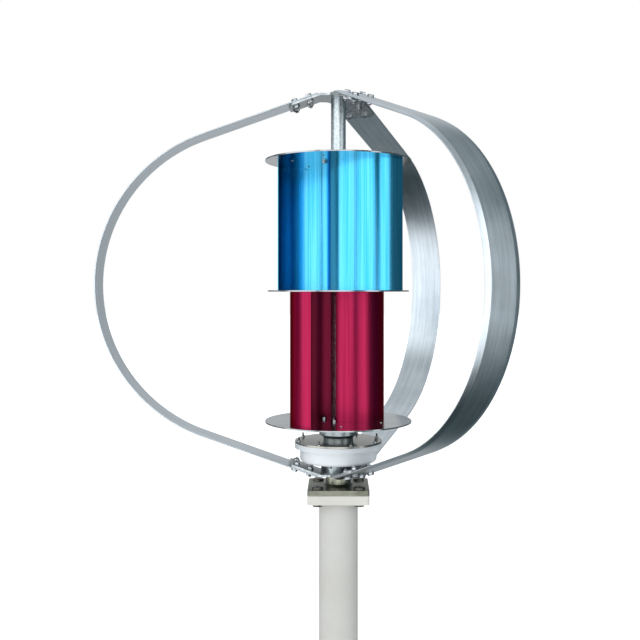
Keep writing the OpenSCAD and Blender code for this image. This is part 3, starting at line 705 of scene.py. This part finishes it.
def weld_tree():
    """A ring of overlapping beads, each a little different in size."""
    tree, keys = new_tree(
        "weld_ring",
        {
            "Geometry": "NodeSocketGeometry",
            "Ring radius": "NodeSocketFloat",
            "Height": "NodeSocketFloat",
            "Bead radius": "NodeSocketFloat",
            "Beads": "NodeSocketInt",
            "Seed": "NodeSocketInt",
            "Finish": "NodeSocketMaterial",
        },
    )
    net = Net(tree)
    given = net.node("NodeGroupInput").outputs
    ring = net.node(
        "GeometryNodeCurvePrimitiveCircle",
        {"mode": "RADIUS"},
        {"Resolution": given["Beads"], "Radius": given["Ring radius"]},
    ).outputs[0]
    points = net.node("GeometryNodeCurveToPoints", {"mode": "EVALUATED"}, {0: ring}).outputs[0]
    lift = net.node("ShaderNodeCombineXYZ", None, {"Z": given["Height"]}).outputs[0]
    raised = net.node(
        "GeometryNodeSetPosition", None, {"Geometry": points, "Offset": lift}
    ).outputs[0]
    bead = net.node(
        "GeometryNodeMeshUVSphere",
        None,
        {"Segments": 12, "Rings": 8, "Radius": given["Bead radius"]},
    ).outputs[0]
    bead = net.node("GeometryNodeSetShadeSmooth", None, {"Geometry": bead}).outputs[0]
    size = net.node(
        "FunctionNodeRandomValue",
        {"data_type": "FLOAT"},
        {2: LEAST_BEAD, 3: MOST_BEAD, "Seed": given["Seed"]},
    ).outputs[1]
    placed = net.node(
        "GeometryNodeInstanceOnPoints", None, {"Points": raised, "Instance": bead, "Scale": size}
    )
    close_tree(net, placed.outputs[0], given["Finish"])
    return tree, keys


def grown(context, name, mesh, tree, keys, values):
    """A plain mesh object from a geometry tree and its inputs."""
    piece = bpy.data.objects.new(name, mesh)
    context.scene.collection.objects.link(piece)
    modifier = piece.modifiers.new("grow", "NODES")
    modifier.node_group = tree
    for title, value in values.items():
        modifier[keys[title]] = value
    return plain(context, piece)


def plain(context, piece):
    """Turns a piece's live modifiers into its mesh."""
    evaluated = piece.evaluated_get(context.evaluated_depsgraph_get())
    mesh = bpy.data.meshes.new_from_object(evaluated)
    piece.modifiers.clear()
    piece.data = mesh
    return piece


def open_edges(mesh):
    """How many edges don't have two faces."""
    shape = bmesh.new()
    shape.from_mesh(mesh)
    count = sum(1 for edge in shape.edges if len(edge.link_faces) != 2)
    shape.free()
    return count


# ---- Settings that a user would change ----


class TurbineLook(bpy.types.PropertyGroup):
    """Colours of the buckets, and the painted shade inside the red ones."""

    blue_dye: FloatVectorProperty(
        name="Blue dye",
        description="Colour of the upper buckets",
        subtype="COLOR",
        default=(0.005, 0.45, 0.80),
        min=0,
        max=1,
    )
    red_dye: FloatVectorProperty(
        name="Red dye",
        description="Colour of the lower buckets",
        subtype="COLOR",
        default=(0.35, 0.011, 0.058),
        min=0,
        max=1,
    )
    # Painted shade: the share of the red dye's tone kept on the inside of a bucket.
    red_painted_shade: FloatProperty(
        name="Red inside",
        description="Share of the red dye's brightness inside a bucket",
        default=0.34,
        min=0,
        max=1,
    )


class TurbineKit(bpy.types.PropertyGroup):
    """Small sizes of the fasteners, the eased edges and the weld."""

    flange_nut_r: FloatProperty(
        name="Flange nut",
        description="Corner radius of a flange nut",
        default=10.8 * MM,
        unit="LENGTH",
    )
    flange_nut_h: FloatProperty(
        name="Flange nut height",
        description="Height of a flange nut",
        default=6.5 * MM,
        unit="LENGTH",
    )
    washer_t: FloatProperty(
        name="Washer", description="Thickness of a washer", default=0.8 * MM, unit="LENGTH"
    )
    washer_share: FloatProperty(
        name="Washer reach", description="Washer's radius, in hexagon half widths", default=1.3
    )
    pitch_share: FloatProperty(
        name="Pitch", description="Distance between thread ridges, in shank radii", default=0.31
    )
    thread_share: FloatProperty(
        name="Thread", description="Length of a bolt's thread, in shank radii", default=5.0
    )
    most_turn: FloatProperty(
        name="Most turn",
        description="How far a fastener may be turned on its axis",
        default=math.radians(60),
        subtype="ANGLE",
    )
    ease: FloatProperty(
        name="Eased edge", description="Width of an eased edge", default=0.6 * MM, unit="LENGTH"
    )
    bead_radius: FloatProperty(
        name="Bead", description="Radius of a weld bead", default=2.4 * MM, unit="LENGTH"
    )
    beads: IntProperty(name="Beads", description="Beads around the pole", default=92)
    seed: IntProperty(name="Seed", description="Seed of what varies at random", default=7)


class TurbineStage(bpy.types.PropertyGroup):
    """The studio: distances, strengths and the camera."""

    camera_distance: FloatProperty(
        name="Camera distance",
        description="Distance of the camera from the rotor's axis",
        default=2.0565,
        unit="LENGTH",
    )
    camera_height: FloatProperty(
        name="Camera height", description="Height of the lens", default=0.860, unit="LENGTH"
    )
    lens: FloatProperty(name="Lens", description="Focal length", default=50.6, unit="CAMERA")
    shift_x: FloatProperty(
        name="Shift sideways",
        description="How far the view moves to its right, in picture widths",
        default=-0.02875,
        precision=4,
    )
    shift_y: FloatProperty(
        name="Shift upwards",
        description="How far the view moves up, in picture widths",
        default=-0.04609375,
        precision=4,
    )
    front_light: FloatProperty(
        name="Front light", description="Strength of the front softboxes", default=1.75
    )
    back_light: FloatProperty(
        name="Back light", description="Strength of the light behind", default=0.5
    )
    soft_share: FloatProperty(
        name="Soft share",
        description="Share of the studio's light that matt surfaces take",
        default=0.57,
        min=0,
        max=1,
    )
    fill: FloatProperty(
        name="Fill", description="Even light that matt surfaces take from all round", default=0.24
    )
    floor_radius: FloatProperty(
        name="Floor radius", description="Radius of the floor", default=30.0, unit="LENGTH"
    )


# ---- Operators ----


class TURBINE_OT_finishes(bpy.types.Operator):
    """Gives every CAD sub-part its finish"""

    bl_idname = "turbine.finishes"
    bl_label = "Finishes"

    def execute(self, context):
        look = context.scene.turbine_look
        made = make_finishes()
        for node, piece in NODES.items():
            slot = SLOT_OF[node]
            if slot == "blade_aluminium":
                material = blade_finish(node)
            elif slot.endswith("anodised"):
                material = bucket_finish(node, look)
            else:
                material = made[slot]
            piece.material_slots[0].material = material
        return {"FINISHED"}


TREES = {}  # geometry trees by name, with the identifiers of their inputs


def settle(piece, node):
    """The piece stands for the CAD node, which is hidden, and rides on its body."""
    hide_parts(node)
    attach(piece, node_body(node))


class FastenerSet:
    """Puts one shape on every solid of a CAD node."""

    def place(self, context, node, shape, sizes):
        """A set that stands for its CAD node."""
        settle(self.spread(context, node, node.removesuffix("s") + "_set", shape, sizes), node)

    def spread(self, context, node, name, shape, sizes):
        """A shape at each size's outer end, in the node's finish."""
        kit = context.scene.turbine_kit
        mesh = bpy.data.meshes.new(node + "_places")
        mesh.from_pydata([size["end"] for size in sizes], [], [])
        facing = mesh.attributes.new("facing", "FLOAT_VECTOR", "POINT")
        facing.data.foreach_set("vector", np.ravel([size["facing"] for size in sizes]))
        if "fastener_set" not in TREES:
            TREES["fastener_set"] = fastener_tree()
        tree, keys = TREES["fastener_set"]
        values = {
            "Fastener": shape,
            "Most turn": kit.most_turn,
            "Seed": kit.seed,
            "Finish": NODES[node].material_slots[0].material,
        }
        piece = grown(context, name, mesh, tree, keys, values)
        bpy.data.objects.remove(shape)
        return piece


class TURBINE_OT_bolts(bpy.types.Operator, FastenerSet):
    """Makes the hexagon bolts of the spiders and the top disc"""

    bl_idname = "turbine.bolts"
    bl_label = "Bolts"

    def execute(self, context):
        for node in ("top_spider_bolts", "bottom_spider_bolts", "top_disc_bolts"):
            sizes = [measured(points) for points in solids(node)]
            self.place(context, node, bolt(node, sizes[0], context.scene.turbine_kit), sizes)
        return {"FINISHED"}


class TURBINE_OT_nuts(bpy.types.Operator, FastenerSet):
    """Makes the hexagon nuts of the spiders, the generator's cover and the bottom disc"""

    bl_idname = "turbine.nuts"
    bl_label = "Nuts"
    # What each set of nuts sits on.
    held = {
        "top_spider_nuts": "top_spider_bolts",
        "bottom_spider_nuts": "bottom_spider_bolts",
        "cover_nuts": "cover_studs",
        "bottom_disc_nuts": "bottom_disc_studs",
    }

    def execute(self, context):
        for node, carrier in self.held.items():
            shank = measured(solids(carrier)[0])["shank_r"]
            sizes = [measured(points) for points in solids(node)]
            near = [measured(points) for points in solids(carrier)]
            for size in sizes:
                self.face_outwards(size, near, carrier)
            shape = nut(node, sizes[0], context.scene.turbine_kit, shank)
            self.place(context, node, shape, sizes)
        return {"FINISHED"}

    def face_outwards(self, size, near, carrier):
        """A nut faces away from its bolt's head, or up on a stud."""
        middle = size["end"] - size["facing"] * size["length"] / 2
        if carrier.endswith("bolts"):
            owner = min(near, key=lambda one: np.linalg.norm(one["end"] - middle))
            away = -owner["facing"]
        else:
            away = np.array((0.0, 0.0, 1.0))
        if away @ size["facing"] < 0:
            size["facing"] = -size["facing"]
        size["end"] = middle + size["facing"] * size["length"] / 2


class TURBINE_OT_flange_nuts(bpy.types.Operator, FastenerSet):
    """Makes the thin nuts on the ends of the pole flange's bolts"""

    bl_idname = "turbine.flange_nuts"
    bl_label = "Flange nuts"

    def execute(self, context):
        kit = context.scene.turbine_kit
        size = {"head_r": kit.flange_nut_r, "length": kit.flange_nut_h}
        low = plate_foot() - kit.flange_nut_h
        bolts = [measured(points) for points in solids("flange_bolts")]
        shank = min(one["shank_r"] for one in bolts)
        facing = (0.0, 0.0, -1.0)
        sizes = [{"end": (*one["end"][:2], low), "facing": facing} for one in bolts]
        shape = nut("flange_nut", size, kit, shank)
        piece = self.spread(context, "flange_bolts", "flange_nut_set", shape, sizes)
        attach(piece, "mast")
        return {"FINISHED"}


class TURBINE_OT_studs(bpy.types.Operator, FastenerSet):
    """Makes the studs of the generator's cover and the bottom disc"""

    bl_idname = "turbine.studs"
    bl_label = "Studs"

    def execute(self, context):
        for node in ("cover_studs", "bottom_disc_studs"):
            sizes = [measured(points) for points in solids(node)]
            self.place(context, node, stud(node, sizes[0], context.scene.turbine_kit), sizes)
        return {"FINISHED"}


class TURBINE_OT_plates(bpy.types.Operator):
    """Eases the sharp edges of the plates, the hubs, the housing and the flanges"""

    bl_idname = "turbine.plates"
    bl_label = "Eased plates"
    eased = {
        "top_spider": 1.0,
        "bottom_spider": 1.0,
        "mast_flange": 1.6,
        "neck_flange": 1.4,
        "generator_housing": 1.8,
        "generator_cover": 0.8,
        "lower_hub": 0.8,
        "upper_hub": 0.8,
        "top_collar": 0.8,
        "top_disc": 0.5,
        "middle_disc": 0.5,
        "bottom_disc": 0.5,
    }

    def execute(self, context):
        for node, share in self.eased.items():
            self.ease(context, node, share * context.scene.turbine_kit.ease)
        return {"FINISHED"}

    def ease(self, context, node, width):
        """A closed copy of a CAD node with its sharp edges cut round."""
        mesh = NODES[node].data.copy()
        shape = bmesh.new()
        shape.from_mesh(mesh)
        bmesh.ops.remove_doubles(shape, verts=shape.verts, dist=SAME_PLACE)
        bmesh.ops.dissolve_limit(
            shape,
            angle_limit=FLAT_WITHIN,
            verts=shape.verts,
            edges=shape.edges,
            use_dissolve_boundaries=False,
        )
        shape.to_mesh(mesh)
        shape.free()
        piece = bpy.data.objects.new(node + "_eased", mesh)
        context.scene.collection.objects.link(piece)
        bevel = piece.modifiers.new("ease", "BEVEL")
        bevel.width = width
        bevel.segments = 2
        bevel.limit_method = "ANGLE"
        bevel.angle_limit = EASE_FROM
        bevel.miter_outer = "MITER_ARC"
        plain(context, piece)
        piece.data.shade_smooth()
        piece.data.set_sharp_from_angle(angle=SHARP_EASED)
        gaps = open_edges(piece.data)
        if gaps:
            raise RuntimeError("%s isn't closed after easing: %d open edges" % (node, gaps))
        settle(piece, node)


class TURBINE_OT_weld(bpy.types.Operator):
    """Makes the weld beads under the pole's flange"""

    bl_idname = "turbine.weld"
    bl_label = "Weld"

    def execute(self, context):
        kit = context.scene.turbine_kit
        tree, keys = weld_tree()
        values = {
            "Ring radius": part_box("mast_tube")[1].x + BEAD_OUT,
            "Height": plate_foot() - BEAD_DOWN,
            "Bead radius": kit.bead_radius,
            "Beads": kit.beads,
            "Seed": kit.seed,
            "Finish": NODES["mast_flange"].material_slots[0].material,
        }
        mesh = bpy.data.meshes.new("flange_weld")
        piece = grown(context, "flange_weld", mesh, tree, keys, values)
        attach(piece, "mast")
        return {"FINISHED"}


class TURBINE_OT_stage(bpy.types.Operator):
    """Makes the floor, the studio light and the camera"""

    bl_idname = "turbine.stage"
    bl_label = "Stage"

    def execute(self, context):
        stage = context.scene.turbine_stage
        self.floor(stage.floor_radius)
        self.studio(context.scene, stage)
        self.camera(context.scene, stage)
        context.scene.view_settings.view_transform = "Standard"
        return {"FINISHED"}

    def floor(self, radius):
        """A wide pale disc that lights nothing and isn't mirrored."""
        mesh = bpy.data.meshes.new("floor")
        shape = bmesh.new()
        bmesh.ops.create_circle(shape, cap_ends=True, radius=radius, segments=96)
        shape.to_mesh(mesh)
        shape.free()
        floor = bpy.data.objects.new("floor", mesh)
        bpy.context.scene.collection.objects.link(floor)

        def build(net):
            cloud = net.noise(net.place(), 1.4, 3)
            tone = net.mix(cloud, colour((0.88, 0.88, 0.88)), colour((0.93, 0.93, 0.93)))
            return {"Base Color": tone, "Emission Color": tone}

        floor.data.materials.append(
            finish("pale_floor", {"Roughness": 0.9, "Emission Strength": 0.75}, build)
        )
        floor.visible_glossy = False
        floor.visible_diffuse = False

    def studio(self, scene, stage):
        """Front softboxes with gaps between them, a dim back, a dark floor and ceiling."""
        scene.world = bpy.data.worlds.new("studio")
        scene.world.use_nodes = True
        net = Net(scene.world.node_tree)
        coords = net.node("ShaderNodeTexCoord").outputs["Generated"]
        parts = net.node("ShaderNodeSeparateXYZ", None, {0: coords}).outputs
        x, y, z = (Num(net, part) for part in parts)
        degrees = 180 / math.pi
        azimuth = x.op("ARCTAN2", -y) * degrees
        rise = z.op("ARCSINE") * degrees
        panels = (
            net.band(azimuth, *LEFT_PANEL)
            + net.band(azimuth, *FRONT_PANEL)
            + net.band(azimuth, *RIGHT_PANEL)
        )
        tall = net.band(rise, *PANEL_RISE)
        left = net.band(azimuth, *LEFT_WALL) * LEFT_WALL_SHARE
        behind = 1 - net.band(azimuth, *FRONT_ARC)
        walls = SIDES_LIGHT + left + behind * stage.back_light
        sides = walls * net.step(rise, *SIDES_RISE)
        ceiling = net.step(rise, *CEILING_RISE) * CEILING_LIGHT
        light = panels * tall * stage.front_light + sides + ceiling + EVEN_LIGHT
        path = net.node("ShaderNodeLightPath").outputs
        seen = Num(net, path["Is Camera Ray"])
        matt = Num(net, path["Is Diffuse Ray"])
        soft = light * (1 - (1 - stage.soft_share) * matt) + stage.fill * matt
        strength = soft * (1 - seen) + seen
        dim, bright = colour((0.62, 0.92, 1)), colour((0.93, 0.975, 1))
        cool = net.mix(net.step(light, 0.0, 0.6), dim, bright)
        tint = net.mix(seen + matt * 0.6, cool, colour((1, 1, 1)))
        sky = net.node("ShaderNodeBackground", None, {"Color": tint, "Strength": strength})
        net.node("ShaderNodeOutputWorld", None, {"Surface": sky.outputs[0]})

    def camera(self, scene, stage):
        """A level camera in front of the rotor."""
        data = bpy.data.cameras.new("camera")
        camera = bpy.data.objects.new("camera", data)
        scene.collection.objects.link(camera)
        data.lens = stage.lens
        data.shift_x, data.shift_y = stage.shift_x, stage.shift_y
        data.clip_start, data.clip_end = 0.05, 200
        camera.location = (0, -stage.camera_distance, stage.camera_height)
        camera.rotation_euler = (math.pi / 2, 0, 0)
        scene.camera = camera


class TURBINE_PT_panel(bpy.types.Panel):
    """The turbine's operators and settings"""

    bl_label = "Turbine"
    bl_idname = "TURBINE_PT_panel"
    bl_space_type = "VIEW_3D"
    bl_region_type = "UI"
    bl_category = "Turbine"

    def draw(self, context):
        for name in GROUPS:
            group = getattr(context.scene, name)
            for key in group.__annotations__:
                self.layout.prop(group, key)
        for operator in OPERATORS:
            self.layout.operator(operator.bl_idname)


OPERATORS = (
    TURBINE_OT_finishes,
    TURBINE_OT_bolts,
    TURBINE_OT_nuts,
    TURBINE_OT_flange_nuts,
    TURBINE_OT_studs,
    TURBINE_OT_plates,
    TURBINE_OT_weld,
    TURBINE_OT_stage,
)
GROUPS = {
    "turbine_look": TurbineLook,
    "turbine_kit": TurbineKit,
    "turbine_stage": TurbineStage,
}


def register():
    for name, group in GROUPS.items():
        bpy.utils.register_class(group)
        setattr(bpy.types.Scene, name, PointerProperty(type=group))
    for operator in OPERATORS:
        bpy.utils.register_class(operator)
    bpy.utils.register_class(TURBINE_PT_panel)


def unregister():
    bpy.utils.unregister_class(TURBINE_PT_panel)
    for operator in reversed(OPERATORS):
        bpy.utils.unregister_class(operator)
    for name, group in GROUPS.items():
        delattr(bpy.types.Scene, name)
        bpy.utils.unregister_class(group)


def main():
    register()
    for operator in OPERATORS:
        group, name = operator.bl_idname.split(".")
        getattr(getattr(bpy.ops, group), name)()


if __name__ == "__main__":
    main()
